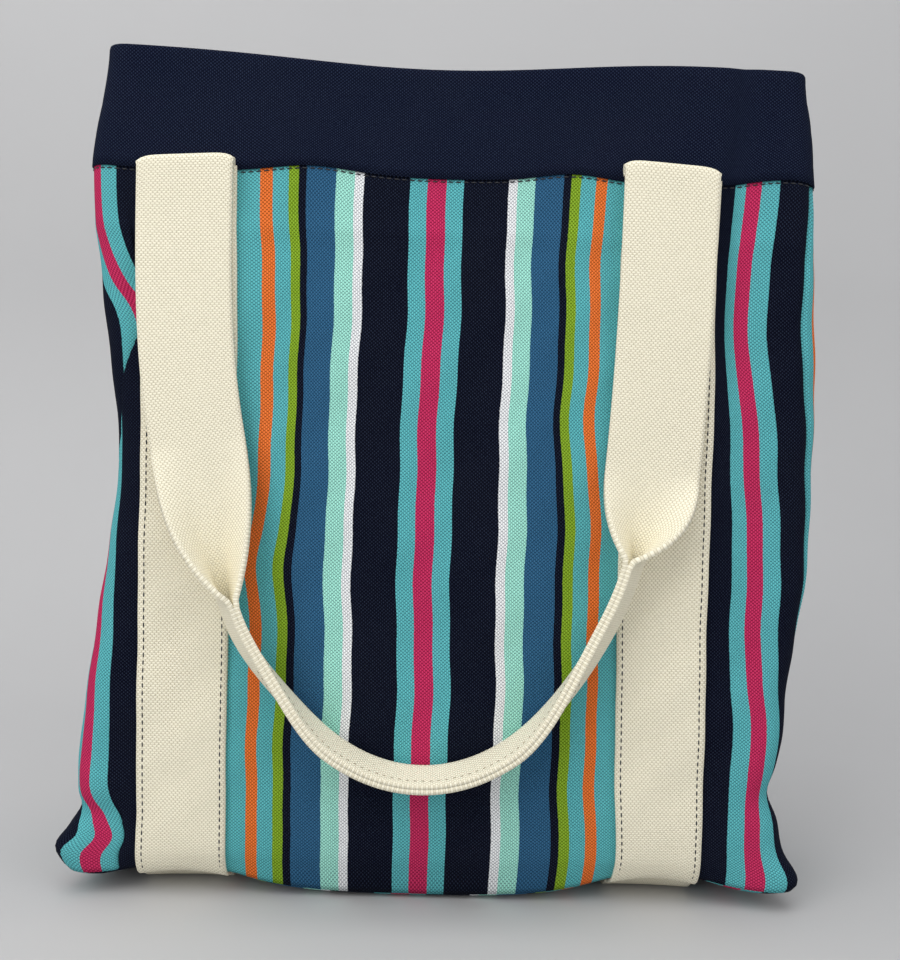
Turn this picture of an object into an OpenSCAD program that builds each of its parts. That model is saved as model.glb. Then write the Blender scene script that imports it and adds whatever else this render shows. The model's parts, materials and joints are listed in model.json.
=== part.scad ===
// Canvas beach bag: four striped sides and a base, a plain band round the mouth,
// and two loops of wide webbing that are sewn up the front and back and hang free above.

/* [Bag] */
// Width of the bag across its front
bag_w = 412; // [340:2:480]
// Depth of the bag from front to back
bag_d = 128; // [100:2:160]
// Height of the bag from the floor to the rim
bag_h = 474; // [430:2:520]
// Thickness of one layer of canvas
cloth_t = 1.5; // [1:0.1:2]

/* [Band] */
// Height of the plain band above the striped cloth
band_h = 69; // [50:1:80]
// Length of the band's hem inside the bag, below the seam
hem_h = 31; // [20:1:40]

/* [Webbing] */
// Width of the handle webbing
web_w = 50; // [38:1:52]
// Thickness of the handle webbing
web_t = 2.3; // [1.8:0.1:2.8]
// Distance of each sewn leg's centre from the middle of the bag
leg_x = 134; // [110:1:150]

/* [Handles] */
// Height of the grip's lowest point, at the middle of the webbing
grip_z = 77; // [50:1:90]
// Catenary constant of the hanging grip
grip_a = 72; // [66:1:76]
// Half of the distance between the ends of the grip
grip_x = 111; // [105:1:116]
// Height at which the webbing starts to fold in half lengthwise
taper_z = 215; // [205:1:240]

/* [Hidden] */

front_y = -bag_d / 2;                      // outer face of the front panel
side_x = bag_w / 2;                        // outer face of the right gusset
seam_z = bag_h - band_h;                   // seam between striped cloth and band
thread_w = 0.6;                            // width of a row of stitches
thread_t = 0.2;                            // how far the thread stands off the cloth
edge_in = 3.2;                             // from the webbing's edge to its stitches
seam_in = 1.5;                             // from the band's lower edge to its stitches
grip_air = 2.4;                            // the doubled webbing stands a little open
fold_gap = 0.7;                            // air between a sewn leg and the drop before it
drop_y = front_y - web_t - fold_gap;       // inner face of the hanging drop
swing_y = drop_y + 0.1;                    // fold line that a handle swings about
fold_r = swing_y - drop_y + web_t;         // radius of the folded webbing's outside
swing_z = seam_z + 4.5;
leg_top = swing_z - fold_r - 0.3;          // the leg ends clear of the turning fold
grip_w = web_w / 2;                        // the grip is webbing folded in half, edges forward
grip_t = 2 * web_t + grip_air;
grip_steps = 20;                           // straight steps in the grip's outline
sliver = 0.01;                             // thin slab at each end of a taper

panel_white = [0.92, 0.93, 0.94];
stripe_teal = [0.36, 0.73, 0.75];
band_navy = [0.11, 0.12, 0.22];
web_cream = [0.98, 0.96, 0.89];
thread_navy = [0.05, 0.06, 0.12];
thread_grey = [0.62, 0.58, 0.50];

// ---- striped cloth ----

module side_panel() {
    translate([-side_x, front_y, web_t])
        cube([bag_w, cloth_t, seam_z - web_t]);
}

module gusset() {
    translate([side_x - cloth_t, front_y + cloth_t, web_t])
        cube([cloth_t, bag_d - 2 * cloth_t, seam_z - web_t]);
}

module base_panel() {
    color(stripe_teal)
        translate([cloth_t - side_x, front_y + cloth_t, web_t])
            cube([bag_w - 2 * cloth_t, bag_d - 2 * cloth_t, cloth_t]);
}

// ---- band: folded over at the rim, so it is two layers above the seam ----

module long_band() {
    color(band_navy) {
        translate([-side_x, front_y, seam_z])
            cube([bag_w, cloth_t, band_h]);
        translate([cloth_t - side_x, front_y + cloth_t, seam_z - hem_h])
            cube([bag_w - 2 * cloth_t, cloth_t, band_h + hem_h]);
    }
}

module short_band() {
    color(band_navy) {
        translate([side_x - cloth_t, front_y + cloth_t, seam_z])
            cube([cloth_t, bag_d - 2 * cloth_t, band_h]);
        translate([side_x - 2 * cloth_t, front_y + 2 * cloth_t, seam_z - hem_h])
            cube([cloth_t, bag_d - 4 * cloth_t, band_h + hem_h]);
    }
}

// ---- sewn webbing ----

module leg() {
    color(web_cream)
        translate([leg_x - web_w / 2, front_y - web_t, 0])
            cube([web_w, web_t, leg_top]);
}

module base_webbing() {
    color(web_cream)
        translate([leg_x - web_w / 2, front_y, 0])
            cube([web_w, bag_d, web_t]);
}

// ---- hanging handle ----

function grip_height(x) = grip_z + grip_a * ((exp(x / grip_a) + exp(-x / grip_a)) / 2 - 1);
function grip_slope(x) = (exp(x / grip_a) - exp(-x / grip_a)) / 2;

// A point beside the grip's centre line, a distance to its upper or inner side.
function grip_point(x, aside) =
    let (slope = grip_slope(x), run = sqrt(1 + slope * slope))
    [x - aside * slope / run, grip_height(x) + aside / run];

function grip_edge(aside) =
    [for (i = [0 : grip_steps]) grip_point(grip_x * (2 * i / grip_steps - 1), aside)];

function backwards(points) = [for (i = [len(points) - 1 : -1 : 0]) points[i]];

// A ribbon on edge between two lines beside the grip's centre line, from near_y forwards.
module grip_ribbon(low, high, near_y, depth) {
    translate([0, near_y, 0])
        rotate([90, 0, 0])
            linear_extrude(depth)
                polygon(concat(grip_edge(low), backwards(grip_edge(high))));
}

module grip() {
    color(web_cream) grip_ribbon(-grip_t / 2, grip_t / 2, drop_y, grip_w);
}

// One row on each face of the grip, beside its two front edges.
module grip_stitching() {
    row_y = drop_y - grip_w + edge_in + thread_w;
    color(thread_grey) {
        grip_ribbon(grip_t / 2, grip_t / 2 + thread_t, row_y, thread_w);
        grip_ribbon(-grip_t / 2 - thread_t, -grip_t / 2, row_y, thread_w);
    }
}

// Flat webbing from the fold down to the taper, leaning in towards the grip.
module drop() {
    taper_x = leg_x - (leg_x - grip_x) * (swing_z - taper_z) / (swing_z - grip_height(grip_x));
    outline = [[leg_x - web_w / 2, swing_z], [leg_x + web_w / 2, swing_z],
               [taper_x + web_w / 2, taper_z], [taper_x - web_w / 2, taper_z]];
    lean = atan(grip_slope(grip_x));
    color(web_cream) {
        translate([0, drop_y, 0])
            rotate([90, 0, 0])
                linear_extrude(web_t)
                    polygon(outline);
        translate([leg_x - web_w / 2, swing_y, swing_z])
            rotate([90, 0, 90])
                linear_extrude(web_w)
                    intersection() {
                        circle(fold_r, $fn = 32);
                        translate([-fold_r, 0]) square([2 * fold_r, fold_r]);
                    }
        hull() {
            translate([taper_x - web_w / 2, drop_y - web_t, taper_z - sliver])
                cube([web_w, web_t, sliver]);
            translate([grip_x, drop_y, grip_height(grip_x)])
                rotate([90, 90 - lean, 0])
                    translate([-grip_t / 2, 0, 0])
                        cube([grip_t, sliver, grip_w]);
        }
    }
}

// ---- rows of stitches ----

module leg_stitching() {
    color(thread_navy)
        for (side = [-1, 1], edge = [-1, 1])
            translate([side * leg_x + edge * (web_w / 2 - edge_in) - thread_w / 2,
                       front_y - web_t - thread_t, web_t])
                cube([thread_w, thread_t, leg_top - web_t]);
}

module band_stitching() {
    color(thread_navy)
        translate([0, 0, seam_z - seam_in])
            difference() {
                ring_slab(thread_t);
                translate([0, 0, -1]) ring_slab(0, 1);
                for (side = [-1, 1])
                    translate([side * leg_x - web_w / 2, -bag_d, -1])
                        cube([web_w, 2 * bag_d, thread_w + 2]);
            }
}

module ring_slab(grow, extra_h = 0) {
    translate([-side_x - grow, front_y - grow, 0])
        cube([bag_w + 2 * grow, bag_d + 2 * grow, thread_w + 2 * extra_h]);
}

// ---- placing ----

module to_left() { mirror([1, 0, 0]) children(); }
module to_back() { mirror([0, 1, 0]) children(); }

color(panel_white) side_panel();  // front_panel
color(panel_white) to_back() side_panel();  // back_panel
color(stripe_teal) to_left() gusset();  // left_gusset
color(stripe_teal) gusset();  // right_gusset
base_panel();
long_band();  // front_band
to_back() long_band();  // back_band
to_left() short_band();  // left_band
short_band();  // right_band
to_left() leg();  // front_left_leg
leg();  // front_right_leg
to_back() to_left() leg();  // back_left_leg
to_back() leg();  // back_right_leg
to_left() base_webbing();  // left_base_webbing
base_webbing();  // right_base_webbing
to_left() drop();  // front_left_drop
drop();  // front_right_drop
grip();  // front_grip
to_back() to_left() drop();  // back_left_drop
to_back() drop();  // back_right_drop
to_back() grip();  // back_grip
leg_stitching();  // front_leg_stitching
to_back() leg_stitching();  // back_leg_stitching
band_stitching();
grip_stitching();  // front_grip_stitching
to_back() grip_stitching();  // back_grip_stitching
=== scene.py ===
"""Canvas beach bag: striped sides, a plain band round the mouth and hanging webbing handles."""

import json
import math

import bpy
import numpy as np
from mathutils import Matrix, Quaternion, Vector


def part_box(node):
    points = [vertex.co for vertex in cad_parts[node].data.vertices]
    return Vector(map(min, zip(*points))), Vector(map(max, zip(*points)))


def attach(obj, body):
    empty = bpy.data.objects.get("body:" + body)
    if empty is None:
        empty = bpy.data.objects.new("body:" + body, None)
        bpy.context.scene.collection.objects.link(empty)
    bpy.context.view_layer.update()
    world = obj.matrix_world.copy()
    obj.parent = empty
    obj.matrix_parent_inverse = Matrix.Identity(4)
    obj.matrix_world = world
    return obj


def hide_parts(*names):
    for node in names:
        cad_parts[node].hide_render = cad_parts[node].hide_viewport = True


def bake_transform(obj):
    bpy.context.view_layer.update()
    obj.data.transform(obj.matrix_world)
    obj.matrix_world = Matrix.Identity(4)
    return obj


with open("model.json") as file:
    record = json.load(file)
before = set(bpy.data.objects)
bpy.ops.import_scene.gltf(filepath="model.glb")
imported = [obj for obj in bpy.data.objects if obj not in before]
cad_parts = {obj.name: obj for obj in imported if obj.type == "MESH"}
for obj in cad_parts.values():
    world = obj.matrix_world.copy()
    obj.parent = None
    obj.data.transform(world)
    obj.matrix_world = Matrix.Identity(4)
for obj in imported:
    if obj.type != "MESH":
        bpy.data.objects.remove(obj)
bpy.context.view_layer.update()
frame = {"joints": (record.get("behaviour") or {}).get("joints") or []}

MM = 0.001

# ---- sizes read from the frame ----

panel_low, panel_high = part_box("front_panel")
band_low, band_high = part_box("front_band")
leg_low, leg_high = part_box("front_right_leg")
base_strap_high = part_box("right_base_webbing")[1]

HALF_W = panel_high.x
FRONT = -panel_low.y
SEAM_Z = panel_high.z
RIM_Z = band_high.z
HEM_Z = band_low.z
LEG_X = (leg_low.x + leg_high.x) / 2
LEG_TOP = leg_high.z
WEB_W = leg_high.x - leg_low.x
WEB_T = base_strap_high.z
SWING_Z = frame["joints"][0]["pos_m"][2]
GRIP_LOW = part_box("front_grip")[0].z

# ---- the bag's cloth ----

CLOTH_T = 1.3 * MM
PANEL_COLUMNS = 181
GUSSET_COLUMNS = 33
BAND_COLUMNS = 113
SIDE_BAND_COLUMNS = 29
MIDDLE_STEPS = 60             # points in a quarter of an outline: across the front,
CORNER_STEPS = 16             # round its corner
SIDE_STEPS = 24               # and back to the middle of the side
SIDE_TURN = 12 * MM           # radius of the lower edge at the sides
FACE_TURN = 30 * MM           # radius of the lower edge in the middle of the front and back
SEAM_U = 222 * MM             # from the middle of the front panel to its corner seam
GUSSET_W = 2 * (HALF_W + FRONT - SEAM_U)   # what the front and back panels leave of the way round
BASE_SEAM_Z = 9 * MM          # the base's cloth turns up to here
BASE_TURN = 0.24              # share of the way in from its edge over which it turns up
SEAM_PULL = 1.6 * MM          # how far a corner seam draws the cloth in
SEAM_FADE = 2 * MM            # and how far from the seam that reaches across a panel
GUSSET_FADE = 0.012           # the same across a gusset, as a share of its width
RIPPLE = 1.0 * MM             # unevenness of the cloth, outwards
SWAY = 0.5 * MM               # and sideways
LEG_HOLD = 0.85               # share of the sway that the sewn webbing stops
PRINT_THROUGH = 0.8 * MM      # height of the ridge over the edge of the hem inside
PRINT_REACH = 5 * MM          # and how far above and below that edge it reaches
PUSHED_LOW = 0.4 * MM         # nothing is pushed lower than this
FLOOR_GAP = 0.1 * MM          # and no cloth or webbing reaches lower than this
BAND_LAP = 1.0 * MM           # the band stands this far proud of the striped cloth
RIM_ROLL = 1.6 * MM           # radius of the band's turn over the rim
HEM_LEAN = 0.03               # how much the hem leans in, as a slope
STRIPE_REPEAT = 188 * MM      # pink stripe to pink stripe, mirrored about each
GUSSET_START = 271 * MM       # where in the stripes a gusset's front edge was cut
BASE_SHIFT = 10 * MM          # the base's stripes are out of step with the front's

# ---- sewn webbing and stitches ----

LEG_CURL = 26 * MM            # radius of the lower edge where the webbing goes under
CURL_SHARE = 0.45             # how much of that curl the cloth beside the webbing follows
LEG_LOW = 1.2 * MM            # height of a sewn leg's lower end
LEG_AIR = 0.15 * MM           # between the cloth and a sewn leg
EDGE_IN = 3.2 * MM            # from the webbing's edge to its stitches
BAND_STITCH_IN = 1.5 * MM     # from the band's lower edge to its stitches
STITCH_PITCH = 4.2 * MM
STITCH_SINK = 0.35 * MM       # how far a stitch's ends dip into the cloth
LEG_STITCH_OUT = 0.25 * MM    # how far the middle of a stitch stands off a sewn leg,
BAND_STITCH_OUT = 0.2 * MM    # off the cloth below the band
GRIP_STITCH_OUT = 0.15 * MM   # and off the grip
UNDER_T = WEB_T - 0.2 * MM    # webbing under the base, clear of the floor and of the cloth above
UNDER_LIFT = 0.3              # share of its length at each end that rises to a leg
ACROSS = np.linspace(-WEB_W / 2, WEB_W / 2, 17)   # places across the sewn webbing

# ---- handles ----

STRAP_T = 3.0 * MM            # thickness of the handles' softer webbing
STRAP_SPREAD = 1.03           # and its width, against the sewn legs'
STRIP_STEPS = 24              # steps across the webbing
FOLD_W = 5.6 * MM             # how far from the crease a doubled webbing still bends
PINCH = 0.095                 # how much past parallel its halves lean, so that their edges meet
GRIP_HALF_T = 3.5 * MM        # half of the doubled webbing's thickness
GRIP_Z = GRIP_LOW + GRIP_HALF_T
GRIP_A = 72 * MM              # catenary constant of the hanging grip
GRIP_X = 111 * MM             # half of the distance between the grip's ends
GRIP_OUT = 71.8 * MM          # how far in front of the bag's middle the grip's crease hangs
CREASE_RISE = 2 * MM          # the grip's crease lies above its middle, because it tips forward
GRIP_ROLL_LOW = 0.12          # how far the doubled webbing tips at the grip's middle, in radians
GRIP_ROLL_HIGH = -0.36        # and at its ends
DOUBLED_Z = 160 * MM          # below this the webbing is fully doubled
BULGE = 9 * MM                # the left of the grip bows outwards
BULGE_Z = 152 * MM            # the height where it bows most
BULGE_REACH = 20 * MM
SMOOTHING_PASSES = 24         # these round the middle line where the drops meet the grip
GRIP_STEPS = 72               # steps along the grip
GRIP_BARE = 4                 # steps at each of its ends without stitches
ROLL_START = 0.42             # the grip starts to tip the other way this far out, as a share of
ROLL_SPAN = 0.5               # half its length across, and has done so this much further out
LEG_CENTRE_Y = 63.9 * MM      # where the webbing leaves the sewn leg, to its middle
FOLD_RISE = 2.4 * MM          # how far the fold stands above the handle's axis
FOLD_LEAD = 10 * MM           # length of webbing in the fold
FOLD_LIFT = {-1: 0, 1: 3 * MM}   # the right fold stands higher on the band
FOLD_DROOP = 1.6 * MM         # how much lower the fold's outer corner lies
FOLD_CORNER = 2.2 * MM        # how much its corners are rounded off
FOLD_NEAR = 30 * MM           # how far below the fold that shape fades out

# ---- camera ----

VIEW_ANGLE = 45.7             # degrees from the picture's top to its bottom
EYE = (0.005, -0.690, 0.270)
AIM = (0.0115, -0.066, 0.2405)
ROLL = 1.68                   # degrees
SENSOR = 24                   # height of the film, in mm


def through(*knots):
    """A smooth function through (position, value) knots, level beyond the first and the last."""
    at = np.array([k[0] for k in knots], float) * MM
    values = np.array([k[1] for k in knots], float) * MM
    slopes = np.gradient(values, at)
    slopes[0] = slopes[-1] = 0

    def value(x):
        x = np.clip(np.asarray(x, float), at[0], at[-1])
        i = np.clip(np.searchsorted(at, x) - 1, 0, len(at) - 2)
        h = at[i + 1] - at[i]
        t = (x - at[i]) / h
        return (values[i] * (1 + 2 * t) * (1 - t) ** 2 + slopes[i] * h * t * (1 - t) ** 2
                + values[i + 1] * t * t * (3 - 2 * t) + slopes[i + 1] * h * t * t * (t - 1))
    return value


# Half-widths and half-depths of the filled bag, by height above the floor, in mm.
right_reach = through((0, 205), (12, 210), (28, 208), (50, 206), (68, 200), (82, 203), (125, 208),
                      (190, 216), (275, 217), (330, 214), (405, 208.5), (440, 206), (474, 201.5))
left_reach = through((0, 194), (20, 199), (36, 198), (50, 196), (65, 193), (80, 194), (120, 190.5),
                     (165, 186), (200, 180), (236, 176.5), (300, 179.5), (340, 185), (405, 190), (474, 182))
middle_depth = through((0, 60), (40, 66), (160, 69.5), (300, 67), (405, 63), (474, 60))
corner_depth = through((0, 58), (60, 61), (200, 61), (405, 62), (474, 58.5))
corner_round = through((0, 14), (60, 16), (236, 20), (405, 13), (474, 11))
right_sag = through((0, 0), (60, -5), (150, -10), (260, -14), (360, -12), (405, -12), (474, -12))
left_sag = through((0, 0), (62, -14), (150, -42), (250, -58), (330, -50), (405, -43), (474, -41))

# A pleat in each side of the front: the cloth it swallows and where it lies along the cloth, in mm,
# then how much wider than that cloth it spreads, and its depth as a share of that cloth.
left_pleat = through((0, 7), (20, 8), (34, 12), (52, 2), (64, 0), (226, 0), (262, 27), (305, 32),
                     (330, 27), (345, 15), (405, 0))
left_pleat_u = through((0, 172), (64, 172), (235, 189), (290, 187), (330, 171), (405, 166))
right_pleat = through((110, 0), (130, 2), (235, 7), (275, 11), (320, 18), (345, 18), (405, 14),
                      (474, 10))
right_pleat_u = through((130, 172), (405, 172))
PLEATS = {1: (right_pleat, right_pleat_u, 22 * MM, 0.15), -1: (left_pleat, left_pleat_u, 2 * MM, 0.42)}


def swallowed(side, u, z):
    """How much cloth a pleat takes up before u, and how deep its fold lies there."""
    amount_at, place_at, spread, depth = PLEATS[side]
    amount = max(0.0, float(amount_at(z)))
    start = float(place_at(z)) - (amount + spread) / 2
    t = np.clip((u - start) / (amount + spread), 0, 1)
    share = t * t * (3 - 2 * t)
    return amount * share, amount * depth * 4 * share * (1 - share)


def bottom_tuck(z, turn):
    """How far the cloth has turned in under the bag, near the floor."""
    rise = np.clip(turn - z, 0, turn)
    return turn - math.sqrt(turn * turn - rise * rise)


def half_section(z, reach, side_sag):
    """Half of the bag's outline at one height, from the front's middle round a side to the back's."""
    r = float(corner_round(z))
    x_end = float(reach(z)) - bottom_tuck(z, SIDE_TURN) - r
    y_corner = float(corner_depth(z)) - bottom_tuck(z, SIDE_TURN)
    y_middle = float(middle_depth(z)) - bottom_tuck(z, FACE_TURN)
    xs = np.linspace(0, x_end, MIDDLE_STEPS)
    ys = -(y_corner + (y_middle - y_corner) * (0.5 + 0.5 * np.cos(math.pi * xs / x_end)))
    turn = np.linspace(0, math.pi / 2, CORNER_STEPS)[1:]
    arc_x = x_end + r * np.sin(turn)
    arc_y = -(y_corner - r) - r * np.cos(turn)
    side_y = np.linspace(-(y_corner - r), 0, SIDE_STEPS)[1:]
    sag = float(side_sag(z)) * (0.5 + 0.5 * np.cos(math.pi * side_y / (y_corner - r)))
    side_x = x_end + r + sag
    front = np.column_stack([np.concatenate([xs, arc_x, side_x]), np.concatenate([ys, arc_y, side_y])])
    back = front[-2::-1] * [1, -1]
    return np.vstack([front, back])


class Outline:
    """The bag's outline at one height, measured along the cloth from the front's middle."""

    def __init__(self, z):
        self.z = z
        self.halves = {}
        for side, reach, sag in ((1, right_reach, right_sag), (-1, left_reach, left_sag)):
            path = half_section(z, reach, sag)
            steps = np.hypot(*np.diff(path, axis=0).T)
            self.halves[side] = (path, np.concatenate([[0], np.cumsum(steps)]))

    def total(self, side):
        return self.halves[side][1][-1]

    def at(self, side, distance):
        """(x, y) and the outward normal, at distances along one half."""
        path, length = self.halves[side]
        xy = np.column_stack([np.interp(distance, length, path[:, k]) for k in (0, 1)])
        ahead = np.column_stack([np.interp(distance + MM, length, path[:, k]) for k in (0, 1)])
        behind = np.column_stack([np.interp(distance - MM, length, path[:, k]) for k in (0, 1)])
        tangent = ahead - behind
        tangent /= np.linalg.norm(tangent, axis=1)[:, None] + 1e-9
        normal = np.column_stack([tangent[:, 1], -tangent[:, 0]])
        return xy * [side, 1], normal * [side, 1]


def front_row(outline, us):
    """Points across the front at cloth positions us, negative to the left."""
    halves = []
    for side in (1, -1):
        slip, depth = swallowed(side, np.abs(us), outline.z)
        xy, normal = outline.at(side, np.abs(us) - slip)
        halves.append((xy - normal * depth[:, None], normal))
    left = (us < 0)[:, None]
    return tuple(np.where(left, halves[1][k], halves[0][k]) for k in (0, 1))


def back_row(outline, us):
    """Points across the back, us positive towards +X."""
    right = outline.at(1, outline.total(1) - np.abs(us))
    left = outline.at(-1, outline.total(-1) - np.abs(us))
    is_left = (us < 0)[:, None]
    return np.where(is_left, left[0], right[0]), np.where(is_left, left[1], right[1])


def side_row(side):
    """The row function of the left or right gusset."""
    def row(outline, shares):
        """Points across a gusset, at shares 0 (front seam) to 1 (back seam) of its width."""
        low = SEAM_U - swallowed(side, np.array([SEAM_U]), outline.z)[0][0]
        high = outline.total(side) - SEAM_U
        return outline.at(side, low + (high - low) * shares)
    return row


# Places where the cloth is pushed out of its smooth shape: centre, reach and shift, all in mm.
PUSHES = [
    ((-90, -66, 300), (22, 40, 95), (5, 0, 0)),
    ((-140, -62, 400), (26, 40, 60), (-2.5, 0, 0)),
    ((140, -62, 390), (30, 40, 70), (-4, 0, 0)),
    ((-134, -62, 60), (32, 40, 90), (1.5, 0, 0)),
    ((100, -64, 350), (45, 40, 90), (-6, 0, 0)),
    ((134, -62, 210), (34, 40, 130), (-5, 0, 0)),
    ((94, -66, 272), (30, 30, 30), (-3, -1, 0)),
    ((0, -66, 225), (70, 30, 70), (-2, 0, 0)),
    ((-98, -66, 192), (32, 30, 16), (-4, -1, 0)),
    ((94, -66, 30), (40, 30, 30), (2.5, 0, 0)),
    ((0, -64, 474), (110, 25, 45), (0, 1, -10)),
    ((0, -55, 9), (125, 30, 7), (0, 0, -6)),
    ((192, -64, 405), (26, 60, 26), (0, 0, 5)),
    ((76, -64, 405), (28, 40, 26), (0, 0, 4.5)),
    ((-70, -64, 405), (32, 40, 26), (0, 0, 5)),
    ((-192, -64, 405), (26, 60, 26), (0, 0, 2)),
    ((-134, -55, 0), (48, 40, 22), (0, 0, 12)),
    ((134, -55, 0), (48, 40, 24), (0, 0, 14)),
    ((215, -60, 474), (70, 60, 45), (0, 0, -4)),
    ((-205, -58, 20), (26, 26, 14), (-9, -6, 6)),
    ((212, -58, 14), (22, 26, 15), (8, -6, 3)),
    ((-192, -60, 48), (22, 40, 7), (3, 3, 0)),
    ((-192, -62, 66), (22, 40, 12), (-2, -3, 0)),
    ((204, -55, 62), (20, 40, 10), (-1, 3, 0)),
]


def pushed(points):
    """Points of the bag's cloth, moved by every push, by its unevenness and by what is sewn to it."""
    out = points.copy()
    for centre, reach, shift in PUSHES:
        away = (points - np.array(centre) * MM) / (np.array(reach) * MM)
        out += np.exp(-(away ** 2).sum(1))[:, None] * np.array(shift) * MM
    x, y, z = points.T
    outward = np.where(y < 0, -1, 1)
    off_leg = np.maximum(np.abs(np.abs(x) - LEG_X) - WEB_W / 2, 0)
    # Crossed waves, in radians a metre, that fade out near the floor and within the band.
    ripple = (np.sin(71 * x + 23 * z + 1.3) * np.sin(49 * z - 31 * x)
              + 0.6 * np.sin(133 * x - 61 * z + 0.7) * np.sin(88 * z + 0.4))
    sway = np.sin(62 * z + 9 * x) + 0.6 * np.sin(151 * z - 17 * x + 2)
    off_floor = np.clip((z - 20 * MM) / (50 * MM), 0, 1)
    fade = off_floor * np.clip((SEAM_Z + 20 * MM - z) / (60 * MM), 0, 1)
    out[:, 1] += RIPPLE * ripple * fade * outward
    on_leg = np.exp(-(off_leg / (10 * MM)) ** 2)
    out[:, 0] += SWAY * fade * (1 - LEG_HOLD * on_leg) * sway
    # The hem inside the band prints through as a slight ridge.
    ridge = np.exp(-((z - HEM_Z) / PRINT_REACH) ** 2)
    out[:, 1] += PRINT_THROUGH * ridge * outward
    # The tight webbing rounds the lower edge more than the cloth between the legs does.
    near_leg = np.exp(-(off_leg / (16 * MM)) ** 2)
    rise = np.clip(LEG_CURL - z, 0, LEG_CURL)
    curl = LEG_CURL - np.sqrt(LEG_CURL ** 2 - rise ** 2)
    front_share = np.clip((np.abs(y) - 20 * MM) / (30 * MM), 0, 1)
    out[:, 1] -= CURL_SHARE * near_leg * curl * front_share * outward
    out[:, 2] = np.maximum(out[:, 2], PUSHED_LOW)
    return out


# ---- meshes ----

def new_mesh(name, points, faces, uvs=None):
    """A smooth mesh in the scene. Its uvs are places on the flat cloth, in metres."""
    mesh = bpy.data.meshes.new(name)
    mesh.from_pydata([tuple(p) for p in points], [], faces)
    if uvs is not None:
        layer = mesh.uv_layers.new(name="cloth")
        for loop in mesh.loops:
            layer.data[loop.index].uv = uvs[loop.vertex_index]
    for face in mesh.polygons:
        face.use_smooth = True
    piece = bpy.data.objects.new(name, mesh)
    bpy.context.scene.collection.objects.link(piece)
    return piece


def grid_faces(rows, columns, flip=False):
    """Faces of a sheet whose points come row by row. Flip turns its outer side round."""
    faces = []
    for i in range(rows - 1):
        for j in range(columns - 1):
            a = i * columns + j
            quad = (a, a + 1, a + columns + 1, a + columns)
            faces.append(quad[::-1] if flip else quad)
    return faces


def thicken(piece, thickness, offset=-1.0):
    """Gives a sheet its real thickness, on its inner side unless offset says otherwise.

    The floor flattens whatever would reach below it.
    """
    solid = piece.modifiers.new("thickness", "SOLIDIFY")
    solid.thickness = thickness
    solid.offset = offset
    solid.use_even_offset = False
    apply_modifiers(piece)
    for corner in piece.data.vertices:
        corner.co.z = max(corner.co.z, FLOOR_GAP)


def apply_modifiers(piece):
    """Swaps a piece's mesh for what its modifiers make of it."""
    bpy.context.view_layer.update()
    graph = bpy.context.evaluated_depsgraph_get()
    done = bpy.data.meshes.new_from_object(piece.evaluated_get(graph))
    piece.modifiers.clear()
    piece.data = done
    for face in done.polygons:
        face.use_smooth = True


def cloth_wall(name, row, us, path, flip, sewn=True, seam_fade=SEAM_FADE):
    """A wall of cloth: row gives the points across, path the (height, inset) of each row.

    A sewn wall is drawn in at its two corner seams.
    """
    points, uvs = [], []
    fall = 0.0
    previous = None
    into_seam = np.zeros(len(us))
    if sewn:
        for end in (us[0], us[-1]):
            into_seam += SEAM_PULL * np.exp(-np.abs(us - end) / seam_fade)
    for z, inset in path:
        xy, normal = row(Outline(max(z, 0)), us)
        xy = xy - normal * (inset + into_seam)[:, None]
        points.append(np.column_stack([xy, np.full(len(us), z)]))
        fall += 0 if previous is None else math.dist((z, inset), previous)
        previous = (z, inset)
        uvs += [(u, fall) for u in us]
    columns = len(us)
    return new_mesh(name, pushed(np.vstack(points)), grid_faces(len(path), columns, flip), uvs)


def heights(low, high, step=4 * MM):
    """Even heights from low to high, about a step apart."""
    count = max(2, round((high - low) / step) + 1)
    return np.linspace(low, high, count)


# ---- materials ----

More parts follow.
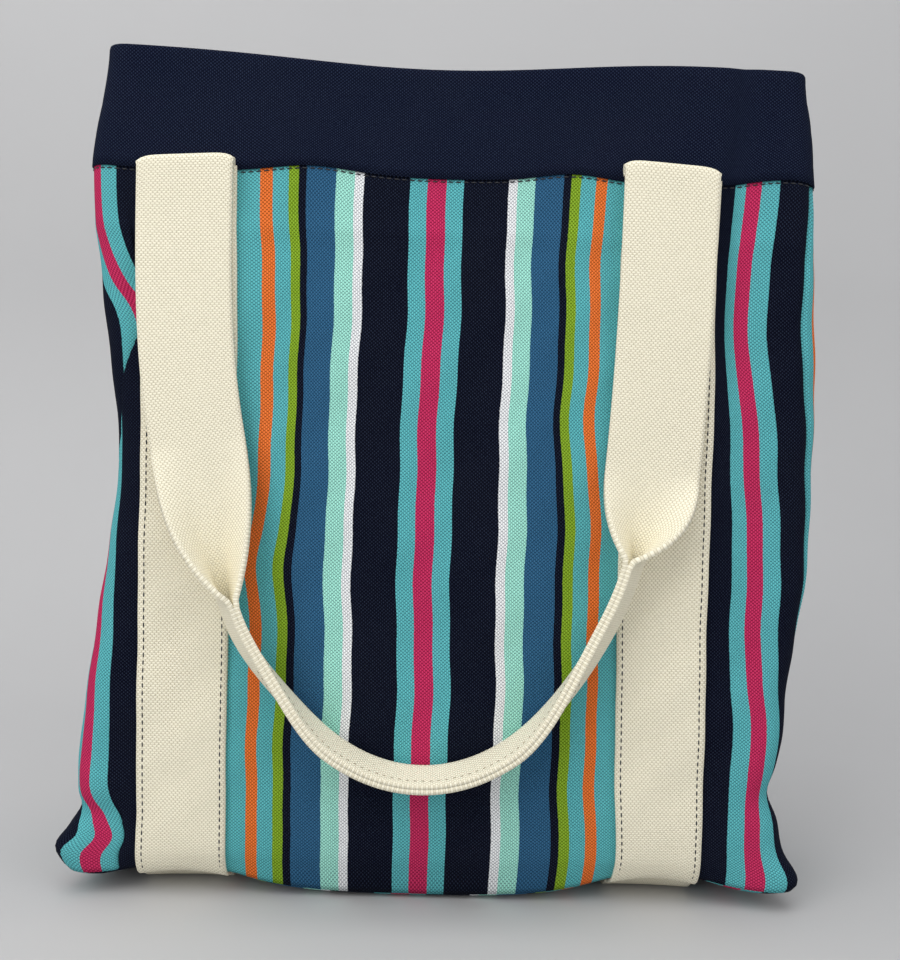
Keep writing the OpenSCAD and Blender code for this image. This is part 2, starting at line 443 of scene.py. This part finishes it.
class Paint:
    """Short names for shader nodes."""

    def __init__(self, name):
        self.material = bpy.data.materials.new(name)
        self.material.use_nodes = True
        self.nodes = self.material.node_tree.nodes
        self.links = self.material.node_tree.links
        self.shader = self.nodes["Principled BSDF"]

    def feed(self, socket, value):
        if isinstance(value, bpy.types.NodeSocket):
            self.links.new(value, socket)
        else:
            socket.default_value = value

    def math(self, operation, a, b=0.0, c=0.0):
        node = self.nodes.new("ShaderNodeMath")
        node.operation = operation
        for socket, value in zip(node.inputs, (a, b, c)):
            self.feed(socket, value)
        return node.outputs[0]

    def smooth(self, value, low, high):
        node = self.nodes.new("ShaderNodeMapRange")
        node.interpolation_type = "SMOOTHSTEP"
        self.feed(node.inputs["Value"], value)
        node.inputs["From Min"].default_value = low
        node.inputs["From Max"].default_value = high
        return node.outputs[0]

    def mix(self, factor, a, b, blend="MIX"):
        node = self.nodes.new("ShaderNodeMix")
        node.data_type = "RGBA"
        node.blend_type = blend
        self.feed(node.inputs["Factor"], factor)
        self.feed(node.inputs[6], a)
        self.feed(node.inputs[7], b)
        return node.outputs[2]

    def noise(self, scale, detail=3.0, where=None):
        node = self.nodes.new("ShaderNodeTexNoise")
        node.inputs["Scale"].default_value = scale
        node.inputs["Detail"].default_value = detail
        if where is not None:
            self.feed(node.inputs["Vector"], where)
        return node.outputs["Fac"]

    def cloth_uv(self):
        """Places across and along the flat cloth, in metres."""
        node = self.nodes.new("ShaderNodeUVMap")
        node.uv_map = "cloth"
        split = self.nodes.new("ShaderNodeSeparateXYZ")
        self.links.new(node.outputs[0], split.inputs[0])
        return split.outputs[0], split.outputs[1]

    def object_place(self):
        return self.nodes.new("ShaderNodeTexCoord").outputs["Object"]

    def steps(self, value, stops):
        """A ramp with hard edges: each stop is (start, colour)."""
        node = self.nodes.new("ShaderNodeValToRGB")
        node.color_ramp.interpolation = "CONSTANT"
        elements = node.color_ramp.elements
        elements[0].position, elements[0].color = stops[0][0], stops[0][1]
        elements[1].position, elements[1].color = stops[1][0], stops[1][1]
        for start, colour in stops[2:]:
            elements.new(start).color = colour
        self.feed(node.inputs[0], value)
        return node.outputs[0]

    def bump(self, height, distance, strength=1.0):
        node = self.nodes.new("ShaderNodeBump")
        node.inputs["Strength"].default_value = strength
        node.inputs["Distance"].default_value = distance
        self.feed(node.inputs["Height"], height)
        self.links.new(node.outputs[0], self.shader.inputs["Normal"])

    def staggered_dots(self, u, v, pitch_u, pitch_v):
        """0 to 1 domes at the crossings of a plain weave, each row half a pitch along."""
        row = self.math("DIVIDE", v, pitch_v)
        odd = self.math("MODULO", self.math("FLOOR", row), 2.0)
        odd = self.math("ABSOLUTE", odd)
        across = self.math("ADD", self.math("DIVIDE", u, pitch_u), self.math("MULTIPLY", odd, 0.5))
        du = self.math("SUBTRACT", self.math("FRACT", across), 0.5)
        dv = self.math("SUBTRACT", self.math("FRACT", row), 0.5)
        square = self.math("ADD", self.math("POWER", du, 2.0),
                           self.math("MULTIPLY", self.math("POWER", dv, 2.0), 0.45))
        return self.math("SUBTRACT", 1.0, self.math("MULTIPLY", square, 4.0))


def srgb(r, g, b):
    def linear(c):
        c /= 255
        return c / 12.92 if c <= 0.04045 else ((c + 0.055) / 1.055) ** 2.4
    return (linear(r), linear(g), linear(b), 1.0)


NAVY = srgb(8, 12, 30)
BAND_NAVY = srgb(13, 20, 42)
TEAL = srgb(92, 180, 186)
PINK = srgb(196, 44, 92)
ORANGE = srgb(232, 116, 48)
GREEN = srgb(132, 168, 36)
BLUE = srgb(46, 94, 130)
MINT = srgb(160, 226, 210)
WHITE = srgb(234, 236, 238)
CREAM = srgb(252, 246, 224)
CANVAS_PITCH = (1.9 * MM, 1.05 * MM)    # yarn to yarn, along the stripes and across them
WEBBING_PITCH = (2.3 * MM, 1.25 * MM)   # across the webbing and along it
RAGGED = 0.6 * MM                       # how far the print's edges wander
# Stripes from the middle of a pink one to the next pink one: where each starts, in mm.
STRIPES = [(0, PINK), (4.7, TEAL), (14.1, NAVY), (39.5, WHITE), (44.6, MINT), (54.5, BLUE),
           (71.6, NAVY), (76.3, GREEN), (81.8, TEAL), (90.8, ORANGE), (97.2, TEAL), (113, NAVY),
           (173.9, TEAL), (183.3, PINK)]


def canvas(name, striped):
    """Coarse woven canvas: domes of yarn with dark gaps between them, slubs in the yarn, and a painted
    highlight on the most raised yarns.
    """
    paint = Paint(name)
    u, v = paint.cloth_uv()
    dots = paint.staggered_dots(v, u, *CANVAS_PITCH)
    place = paint.object_place()
    slub = paint.noise(900, 2, place)
    patch = paint.noise(14, 3, place)
    if striped:
        ragged = paint.math("ADD", u, paint.math("MULTIPLY", paint.math("SUBTRACT", slub, 0.5), RAGGED))
        share = paint.math("DIVIDE", paint.math("PINGPONG", ragged, STRIPE_REPEAT), STRIPE_REPEAT)
        ground = paint.steps(share, [(start * MM / STRIPE_REPEAT, colour) for start, colour in STRIPES])
    else:
        ground = BAND_NAVY
    dark = paint.mix(1.0, ground, (0.42, 0.42, 0.45, 1), "MULTIPLY")
    light = paint.mix(1.0, ground, (1.17, 1.17, 1.15, 1), "MULTIPLY")
    raised = paint.math("MULTIPLY", dots, paint.math("ADD", 0.75, paint.math("MULTIPLY", slub, 0.5)))
    woven = paint.mix(paint.smooth(raised, 0.1, 0.8), dark, light)
    # painted highlight: a faint pale-blue glint is painted onto the tops of the most raised yarns, over the
    # woven colour
    glint = paint.math("MULTIPLY", paint.smooth(raised, 0.72, 1.0), 0.04)
    glinted = paint.mix(glint, woven, (0.45, 0.62, 0.95, 1))
    shade = paint.smooth(patch, 0.2, 0.8)
    worn = paint.mix(paint.math("MULTIPLY", shade, 0.004), glinted, (0.5, 0.5, 0.52, 1))
    paint.feed(paint.shader.inputs["Base Color"], worn)
    paint.feed(paint.shader.inputs["Roughness"], paint.math("ADD", 0.78, paint.math("MULTIPLY", slub, 0.15)))
    paint.shader.inputs["Specular IOR Level"].default_value = 0.05
    height = paint.math("ADD", dots, paint.math("MULTIPLY", slub, 0.4))
    paint.bump(height, 0.25 * MM, 0.8)
    return paint.material


def webbing(name):
    """Unbleached cotton webbing, in a coarser weave than the canvas."""
    paint = Paint(name)
    u, v = paint.cloth_uv()
    dots = paint.staggered_dots(u, v, *WEBBING_PITCH)
    place = paint.object_place()
    slub = paint.noise(700, 2, place)
    patch = paint.noise(22, 3, place)
    low = paint.mix(paint.smooth(patch, 0.3, 0.7), srgb(212, 203, 176), srgb(220, 211, 184))
    speck = paint.smooth(paint.math("MULTIPLY", dots, paint.math("ADD", 0.7, slub)), 0.1, 0.9)
    paint.feed(paint.shader.inputs["Base Color"], paint.mix(speck, low, CREAM))
    paint.feed(paint.shader.inputs["Roughness"], paint.math("ADD", 0.8, paint.math("MULTIPLY", slub, 0.1)))
    paint.shader.inputs["Sheen Weight"].default_value = 0.1
    paint.shader.inputs["Specular IOR Level"].default_value = 0.2
    height = paint.math("ADD", dots, paint.math("MULTIPLY", slub, 0.5))
    paint.bump(height, 0.35 * MM, 0.8)
    return paint.material


def thread(name, colour):
    paint = Paint(name)
    twist = paint.noise(2500, 2, paint.object_place())
    fuzz = paint.math("MULTIPLY", twist, 0.1)
    paint.feed(paint.shader.inputs["Base Color"], paint.mix(fuzz, colour, (0.3, 0.3, 0.3, 1)))
    paint.shader.inputs["Roughness"].default_value = 0.6
    paint.bump(twist, 0.1 * MM)
    return paint.material


MATERIALS = {
    "striped": canvas("striped canvas", True),
    "band": canvas("plain canvas", False),
    "webbing": webbing("cotton webbing"),
    "dark_thread": thread("navy thread", srgb(14, 15, 26)),
    "grey_thread": thread("grey thread", srgb(150, 138, 116)),
}


def finish_piece(piece, body, slot, node):
    """Gives a piece its material and body, and hides the CAD node it stands for."""
    piece.data.materials.clear()
    piece.data.materials.append(MATERIALS[slot])
    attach(piece, body)
    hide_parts(node)


# ---- the bag's cloth ----

def build_panels():
    us = np.linspace(-SEAM_U, SEAM_U, PANEL_COLUMNS)
    path = [(z, 0.0) for z in heights(BASE_SEAM_Z, SEAM_Z, 3 * MM)]
    for face, row in (("front", front_row), ("back", back_row)):
        piece = cloth_wall(face + "_cloth", row, us, path, flip=face == "back")
        thicken(piece, CLOTH_T)
        finish_piece(piece, "bag", "striped", face + "_panel")


def build_gussets():
    shares = np.linspace(0, 1, GUSSET_COLUMNS)
    path = [(z, 0.0) for z in heights(BASE_SEAM_Z, SEAM_Z)]
    for name, side in (("left", -1), ("right", 1)):
        piece = cloth_wall(name + "_side_cloth", side_row(side), shares, path, flip=side < 0,
                           seam_fade=GUSSET_FADE)
        scale_uv(piece, GUSSET_W, shift=GUSSET_START)
        thicken(piece, CLOTH_T)
        finish_piece(piece, "bag", "striped", name + "_gusset")


def scale_uv(piece, width, shift=0.0):
    """Turns a gusset's shares across into cloth positions, from its front seam."""
    for item in piece.data.uv_layers["cloth"].data:
        item.uv = (item.uv[0] * width + shift, item.uv[1])


def build_base():
    """The base is one cloth that turns up to its seam all round, in rings from there to a spine."""
    outline = Outline(BASE_SEAM_Z)
    parts = [outline.at(side, np.linspace(0, outline.total(side), 90))[0] for side in (1, -1)]
    loop = np.vstack([parts[0], parts[1][::-1][1:-1]])
    count = len(loop)
    points, uvs = [], []
    shares = np.concatenate([np.linspace(0, BASE_TURN, 9), np.linspace(0.3, 1, 12)])
    spine = np.column_stack([np.clip(loop[:, 0], -HALF_W + FRONT, HALF_W - FRONT), np.zeros(count)])
    for share in shares:
        ring = loop + (spine - loop) * share
        drop = 1 - (1 - min(share / BASE_TURN, 1)) ** 2
        z = BASE_SEAM_Z + (WEB_T + CLOTH_T - BASE_SEAM_Z) * drop
        points.append(np.column_stack([ring, np.full(count, z)]))
        uvs += [(x + BASE_SHIFT, y) for x, y in ring]
    faces = []
    for i in range(len(shares) - 1):
        for j in range(count):
            k = (j + 1) % count
            faces.append((i * count + j, i * count + k, (i + 1) * count + k, (i + 1) * count + j)[::-1])
    piece = new_mesh("base_cloth", pushed(np.vstack(points)), faces, uvs)
    thicken(piece, CLOTH_T)
    finish_piece(piece, "bag", "striped", "base_panel")


def band_path():
    """Up the outside of the band, over the rim and down the inside to the hem."""
    turn_z = RIM_Z - 2 * MM
    outside = [(z, -BAND_LAP) for z in heights(SEAM_Z, turn_z, 5 * MM)]
    rim = [(turn_z + RIM_ROLL * math.sin(a), -BAND_LAP + RIM_ROLL - RIM_ROLL * math.cos(a))
           for a in np.linspace(0, math.pi, 7)[1:]]
    inside = [(z, 2 * RIM_ROLL - BAND_LAP + max(0, SEAM_Z - z) * HEM_LEAN + (CLOTH_T if z < SEAM_Z else 0))
              for z in heights(HEM_Z, RIM_Z - 4 * MM, 6 * MM)[::-1]]
    return outside + rim + inside


def build_bands():
    us = np.linspace(-SEAM_U, SEAM_U, BAND_COLUMNS)
    shares = np.linspace(0, 1, SIDE_BAND_COLUMNS)
    path = band_path()
    for face, row in (("front", front_row), ("back", back_row)):
        piece = cloth_wall(face + "_band_cloth", row, us, path, flip=face == "back", sewn=False)
        thicken(piece, CLOTH_T)
        finish_piece(piece, "bag", "band", face + "_band")
    for name, side in (("left", -1), ("right", 1)):
        piece = cloth_wall(name + "_band_cloth", side_row(side), shares, path, flip=side < 0, sewn=False)
        scale_uv(piece, GUSSET_W)
        thicken(piece, CLOTH_T)
        finish_piece(piece, "bag", "band", name + "_band")


# ---- sewn webbing and its stitches ----

def strip_points(row, us, zs, proud):
    """Points at cloth positions us and heights zs, standing proud of the cloth."""
    points = []
    for z in zs:
        xy, normal = row(Outline(z), us)
        points.append(np.column_stack([xy + normal * proud, np.full(len(us), z)]))
    return pushed(np.vstack(points))


def build_legs():
    zs = heights(LEG_LOW, LEG_TOP)
    for face, row in (("front", front_row), ("back", back_row)):
        for name, side in (("left", -1), ("right", 1)):
            points = strip_points(row, side * LEG_X + ACROSS, zs, LEG_AIR)
            uvs = [(a, z) for z in zs for a in ACROSS]
            piece = new_mesh(f"{face}_{name}_leg_webbing", points,
                             grid_faces(len(zs), len(ACROSS), flip=face == "back"), uvs)
            thicken(piece, WEB_T, offset=1.0)
            finish_piece(piece, "bag", "webbing", f"{face}_{name}_leg")


def stitch_mesh(name, places, body, slot, node, length=3.3 * MM, width=0.8 * MM):
    """Separate stitches, thinner towards their ends: each place is (middle, along, outward)."""
    points, faces = [], []
    sides, rings = 6, 5
    for middle, along, out in places:
        along = along / np.linalg.norm(along)
        out = out / np.linalg.norm(out)
        across = np.cross(along, out)
        start = len(points)
        for i in range(rings):
            t = i / (rings - 1) * 2 - 1
            fat = width / 2 * math.sqrt(max(0.04, 1 - t * t * 0.9))
            core = middle + along * t * length / 2 - out * (t * t) * STITCH_SINK
            for k in range(sides):
                a = 2 * math.pi * k / sides
                points.append(core + (across * math.cos(a) + out * math.sin(a)) * fat)
        for i in range(rings - 1):
            for k in range(sides):
                a, b = start + i * sides + k, start + i * sides + (k + 1) % sides
                faces.append((a, b, b + sides, a + sides))
        faces.append(tuple(start + k for k in range(sides))[::-1])
        faces.append(tuple(start + (rings - 1) * sides + k for k in range(sides)))
    piece = new_mesh(name, points, faces)
    finish_piece(piece, body, slot, node)


def rows_of_stitches(line, outs, pitch):
    """Places for stitches along a line of points with outward directions."""
    line, outs = np.array(line), np.array(outs)
    length = np.concatenate([[0], np.cumsum(np.linalg.norm(np.diff(line, axis=0), axis=1))])
    places = []
    for s in np.arange(pitch / 2, length[-1] - pitch / 2, pitch):
        middle = np.array([np.interp(s, length, line[:, k]) for k in range(3)])
        ahead = np.array([np.interp(s + MM, length, line[:, k]) for k in range(3)])
        out = np.array([np.interp(s, length, outs[:, k]) for k in range(3)])
        places.append((middle, ahead - middle, out))
    return places


def build_leg_stitches():
    zs = heights(3 * MM, LEG_TOP - 2 * MM)
    for face, row in (("front", front_row), ("back", back_row)):
        places = []
        for side in (-1, 1):
            for edge in (-1, 1):
                u = np.array([side * LEG_X + edge * (WEB_W / 2 - EDGE_IN)])
                line = strip_points(row, u, zs, WEB_T + LEG_STITCH_OUT)
                inner = strip_points(row, u, zs, 0.0)
                places += rows_of_stitches(line, line - inner, STITCH_PITCH)
        stitch_mesh(face + "_leg_stitches", places, "bag", "dark_thread", face + "_leg_stitching")


def build_band_stitches():
    z = SEAM_Z - BAND_STITCH_IN
    outline = Outline(z)
    places = []
    gaps = (LEG_X - WEB_W / 2 - MM, LEG_X + WEB_W / 2 + MM)
    for row in (front_row, back_row):
        for low, high in ((-SEAM_U, -gaps[1]), (-gaps[0], gaps[0]), (gaps[1], SEAM_U)):
            us = np.linspace(low, high, 60)
            places += level_row(row, outline, us, z)
    for side in (-1, 1):
        places += level_row(side_row(side), outline, np.linspace(0.02, 0.98, 40), z)
    stitch_mesh("band_stitches", places, "bag", "dark_thread", "band_stitching")


def level_row(row, outline, us, z):
    """Places for stitches along one height of the bag."""
    xy, normal = row(outline, us)
    level = np.full(len(us), z)
    line = pushed(np.column_stack([xy + normal * BAND_STITCH_OUT, level]))
    inner = pushed(np.column_stack([xy, level]))
    return rows_of_stitches(line, line - inner, STITCH_PITCH)


def build_base_webbing():
    """Each strap's stretch under the base, from one face of the bag to the other."""
    for name, side in (("left", -1), ("right", 1)):
        us = side * LEG_X + ACROSS
        front, back = (strip_points(row, us, [LEG_LOW], WEB_T / 2) for row in (front_row, back_row))
        shares = np.linspace(0, 1, 31)
        floor_z = WEB_T / 2 + FLOOR_GAP
        points, uvs = [], []
        for share in shares:
            line = front + (back - front) * share
            lift = max(0, 1 - min(share, 1 - share) / UNDER_LIFT) ** 2
            line[:, 2] = np.maximum(floor_z, floor_z + (line[:, 2] - floor_z) * lift)
            points.append(line)
            uvs += [(a, share * 2 * FRONT) for a in ACROSS]
        piece = new_mesh(name + "_under_webbing", np.vstack(points),
                         grid_faces(len(shares), len(ACROSS), flip=True), uvs)
        thicken(piece, UNDER_T, offset=0.0)
        finish_piece(piece, "bag", "webbing", name + "_base_webbing")


# ---- hanging handles ----

# By height, in mm: how far each drop's middle line lies from the bag's middle, and how far forward.
drop_lean = {-1: through((181, 112), (198, 115.5), (226, 120), (275, 129.5), (412, 136)),
             1: through((181, 111), (194, 114), (210, 117.5), (238, 121), (275, 123.5), (412, 127))}
drop_out = through((150, 71.8), (190, 71.4), (225, 70.6), (275, 69.8), (340, 69.1), (412, 68.7))
# The heights between which each drop folds.
taper = {-1: (257 * MM, 171 * MM), 1: (246 * MM, 199 * MM)}


def catenary(x):
    """Height of the grip's crease."""
    return GRIP_Z + CREASE_RISE * (1 - ease(abs(x) / GRIP_X)) + GRIP_A * (math.cosh(x / GRIP_A) - 1)


def handle_centre():
    """The middle line of the webbing from the left fold, along the grip, to the right fold."""
    levels = heights(catenary(GRIP_X) + 3 * MM, SWING_Z)
    falls = {side: [np.array([side * float(lean(z)), -float(drop_out(z)), z]) for z in levels]
             for side, lean in drop_lean.items()}
    sling = [np.array([x, -GRIP_OUT, catenary(x)]) for x in np.linspace(-GRIP_X, GRIP_X, GRIP_STEPS + 1)]
    for point in sling[:GRIP_STEPS // 2]:
        point[0] -= BULGE * math.exp(-((point[2] - BULGE_Z) / BULGE_REACH) ** 2)
    centre = np.array(falls[-1][::-1] + sling + falls[1])
    for _ in range(SMOOTHING_PASSES):
        centre[1:-1] = (centre[:-2] + 2 * centre[1:-1] + centre[2:]) / 4
    return centre


def ease(t):
    """0 to 1 with a soft start and end."""
    t = min(max(t, 0), 1)
    return t * t * (3 - 2 * t)


def folded_strip(point, tangent, fold, roll):
    """Points across a strip at one place: flat at fold 0, doubled with its edges forward at 1."""
    forward = np.array([0, -1.0, 0])
    forward = forward - tangent * forward.dot(tangent)
    forward /= np.linalg.norm(forward)
    across = np.cross(tangent, forward)
    forward, across = (forward * math.cos(roll) + across * math.sin(roll),
                       across * math.cos(roll) - forward * math.sin(roll))
    half = [(0.0, 0.0)]
    steps = STRIP_STEPS // 2
    step = WEB_W / 2 * STRAP_SPREAD / steps
    for i in range(steps):
        w = (i + 0.5) * step
        reach = FOLD_W * (1 + 3 * (1 - fold))
        bend = fold * (math.pi / 2 + PINCH) * ease(w / reach)
        half.append((half[-1][0] + step * math.cos(bend), half[-1][1] + step * math.sin(bend)))
    line = [(-b, f) for b, f in half[::-1][:-1]] + half
    return [point + across * b + forward * f for b, f in line]


def handle_rows():
    """The whole handle as rows of points across it, with each row's distance along the webbing."""
    centre = handle_centre()
    tangents = np.gradient(centre, axis=0)
    tangents /= np.linalg.norm(tangents, axis=1)[:, None]
    rows = []
    for point, tangent in zip(centre, tangents):
        out = abs(point[0]) / GRIP_X
        top_z, end_z = taper[1 if point[0] > 0 else -1]
        share = min(max((top_z - point[2]) / (top_z - end_z), 0), 1)
        fold = math.acos(1 - share ** 2) / (math.pi / 2)
        tip = ease((out - ROLL_START) / ROLL_SPAN)
        roll = fold * (GRIP_ROLL_LOW + (GRIP_ROLL_HIGH - GRIP_ROLL_LOW) * tip)
        rows.append(folded_strip(point, tangent, fold, roll))
    rows = np.array(rows)
    steps = np.linalg.norm(np.diff(centre, axis=0), axis=1)
    return rows, np.concatenate([[0], np.cumsum(steps)])


def fold_rows(first_row):
    """The webbing from the top of a sewn leg, up and forwards over the fold to a drop's first row."""
    back_y, front_y = LEG_CENTRE_Y, -first_row[:, 1].mean()
    middle, half = (back_y + front_y) / 2, (front_y - back_y) / 2
    across = first_row[:, 0]
    rows = []
    for angle in np.linspace(0, math.pi, 11)[:-1]:
        z = SWING_Z + FOLD_RISE * math.sin(angle) - (SWING_Z - LEG_TOP) * (0.5 + 0.5 * math.cos(angle))
        depth = -(middle - half * math.cos(angle))
        rows.append(np.column_stack([across, np.full(len(across), depth), np.full(len(across), z)]))
    return np.array(rows)


def soften_fold(rows, outer_sign):
    """The fold droops a little towards its outer corner, and its corners are round."""
    rows = rows.copy()
    near = np.clip((rows[..., 2] - (SWING_Z - FOLD_NEAR)) / FOLD_NEAR, 0, 1)
    rows[..., 2] += near * FOLD_LIFT[outer_sign]
    middle = rows[..., 0].mean(axis=1, keepdims=True)
    share = (rows[..., 0] - middle) / (WEB_W / 2) * outer_sign
    rows[..., 2] -= near * (FOLD_DROOP * share + FOLD_CORNER * np.abs(share) ** 8)
    return rows


def cut_piece(name, whole, along, first, last):
    """The part of a whole handle between two of its rows, closed off at its ends.

    It keeps the whole handle's normals, so that no line shows where two parts meet.
    """
    count = STRIP_STEPS + 1
    rows = len(along)
    corners = np.array([v.co for v in whole.data.vertices])
    row_of = np.arange(len(corners)) % (rows * count) // count
    kept = np.flatnonzero((row_of >= first) & (row_of <= last))
    place = {int(v): i for i, v in enumerate(kept)}
    faces = [tuple(place[v] for v in face.vertices) for face in whole.data.polygons
             if all(v in place for v in face.vertices)]
    sides = len(faces)
    for row in (first, last):
        start, behind = row * count, (rows + row) * count
        faces += [tuple(place[v] for v in (start + j, start + j + 1, behind + j + 1, behind + j))
                  for j in range(count - 1)]
    across = np.linspace(-WEB_W / 2, WEB_W / 2, count)
    uvs = [(across[v % count], along[row_of[v]]) for v in kept]
    piece = new_mesh(name, corners[kept], faces, uvs)
    normals = []
    for face in piece.data.polygons:
        face.use_smooth = face.index < sides
        for v in face.vertices:
            normal = whole.data.vertices[int(kept[v])].normal if face.use_smooth else face.normal
            normals.append(tuple(normal))
    piece.data.normals_split_custom_set(normals)
    return piece


def build_handle(face):
    """Two drops and a grip; the back handle is the front one turned round."""
    rows, along = handle_rows()
    turn = np.array([1, 1, 1]) if face == "front" else np.array([-1, -1, 1])
    handle = face + "_handle"
    names = ("left", "right") if face == "front" else ("right", "left")
    middle = len(rows) // 2
    left = soften_fold(np.concatenate([fold_rows(rows[0]), rows[:middle]]), -1)
    right = soften_fold(np.concatenate([fold_rows(rows[-1]), rows[middle:][::-1]]), 1)[::-1]
    over = len(left) - middle
    lead = np.linspace(FOLD_LEAD, MM, over)
    rows = np.concatenate([left, right]) * turn
    along = np.concatenate([-lead, along, along[-1] + lead[::-1]])
    whole = new_mesh("whole", rows.reshape(-1, 3), grid_faces(len(rows), rows.shape[1]))
    thicken(whole, STRAP_T, offset=0.0)
    in_grip = np.flatnonzero(rows.mean(axis=1)[:, 2] < DOUBLED_Z)
    first, last = in_grip[0], in_grip[-1]
    for name, start, end in ((names[0], 0, first), (names[1], last, len(rows) - 1)):
        piece = cut_piece(f"{face}_{name}_drop_webbing", whole, along, start, end)
        piece.data.materials.append(MATERIALS["webbing"])
        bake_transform(piece)
        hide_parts(f"{face}_{name}_drop")
    piece = cut_piece(face + "_grip_webbing", whole, along, first, last)
    finish_piece(piece, handle, "webbing", face + "_grip")
    bpy.data.objects.remove(whole)
    places = []
    column = round(EDGE_IN / WEB_W * STRIP_STEPS)
    part = rows[first:last + 1]
    for edge, other in ((column, -1 - column), (-1 - column, column)):
        outs = part[:, edge] - part[:, other]
        outs /= np.linalg.norm(outs, axis=1)[:, None]
        line = part[:, edge] + outs * (STRAP_T / 2 + GRIP_STITCH_OUT)
        places += rows_of_stitches(line[GRIP_BARE:-GRIP_BARE], outs[GRIP_BARE:-GRIP_BARE], STITCH_PITCH)
    stitch_mesh(face + "_grip_stitches", places, handle, "grey_thread", face + "_grip_stitching",
                length=2.2 * MM, width=0.5 * MM)


# ---- camera, light and floor ----

def build_camera():
    camera_data = bpy.data.cameras.new("camera")
    camera = bpy.data.objects.new("camera", camera_data)
    bpy.context.scene.collection.objects.link(camera)
    camera_data.sensor_fit = "VERTICAL"
    camera_data.sensor_height = SENSOR
    camera_data.lens = SENSOR / 2 / math.tan(math.radians(VIEW_ANGLE / 2))
    eye = Vector(EYE)
    camera.location = eye
    turn = (Vector(AIM) - eye).to_track_quat("-Z", "Y")
    camera.rotation_mode = "QUATERNION"
    camera.rotation_quaternion = turn @ Quaternion((0, 0, 1), math.radians(ROLL))
    bpy.context.scene.camera = camera


def build_stage():
    """A pale floor that sweeps up behind the bag."""
    floor_paint = Paint("pale paper")
    mottle = floor_paint.noise(3, 2, floor_paint.object_place())
    tone = floor_paint.mix(mottle, srgb(186, 186, 187), srgb(193, 193, 194))
    floor_paint.feed(floor_paint.shader.inputs["Base Color"], tone)
    floor_paint.shader.inputs["Roughness"].default_value = 0.85
    wide, near, far, high, radius = 3.0, -1.6, 0.75, 2.2, 0.45
    profile = [(near, 0.0), (far - radius, 0.0)]
    profile += [(far - radius + radius * math.sin(a), radius - radius * math.cos(a))
                for a in np.linspace(0, math.pi / 2, 17)[1:]]
    profile.append((far, high))
    points = [(x, y, z) for y, z in profile for x in (-wide, wide)]
    floor = new_mesh("floor", points, grid_faces(len(profile), 2))
    floor.data.materials.append(floor_paint.material)


def add_area(name, place, aim, size, power, colour=(1, 1, 1)):
    light = bpy.data.lights.new(name, "AREA")
    light.shape = "RECTANGLE"
    light.size, light.size_y = size
    light.energy = power
    light.color = colour
    lamp = bpy.data.objects.new(name, light)
    lamp.location = place
    lamp.rotation_euler = (Vector(aim) - Vector(place)).to_track_quat("-Z", "Y").to_euler()
    bpy.context.scene.collection.objects.link(lamp)


def build_light():
    add_area("overhead", (-0.3, -0.5, 2.0), (0, 0, 0.2), (2.2, 2.2), 27.5)
    add_area("front_left", (-1.3, -1.6, 1.1), (0, 0, 0.25), (1.4, 1.4), 18, (1, 0.99, 0.97))
    add_area("front_right", (1.5, -1.2, 0.9), (0, 0, 0.25), (1.2, 1.2), 8)
    world = bpy.data.worlds.new("room")
    world.use_nodes = True
    world.node_tree.nodes["Background"].inputs["Color"].default_value = (0.97, 0.98, 1.0, 1)
    world.node_tree.nodes["Background"].inputs["Strength"].default_value = 0.39
    bpy.context.scene.world = world
    bpy.context.scene.view_settings.view_transform = "Standard"


build_camera()
build_panels()
build_gussets()
build_base()
build_bands()
build_legs()
build_leg_stitches()
build_band_stitches()
build_base_webbing()
build_handle("front")
build_handle("back")
build_stage()
build_light()
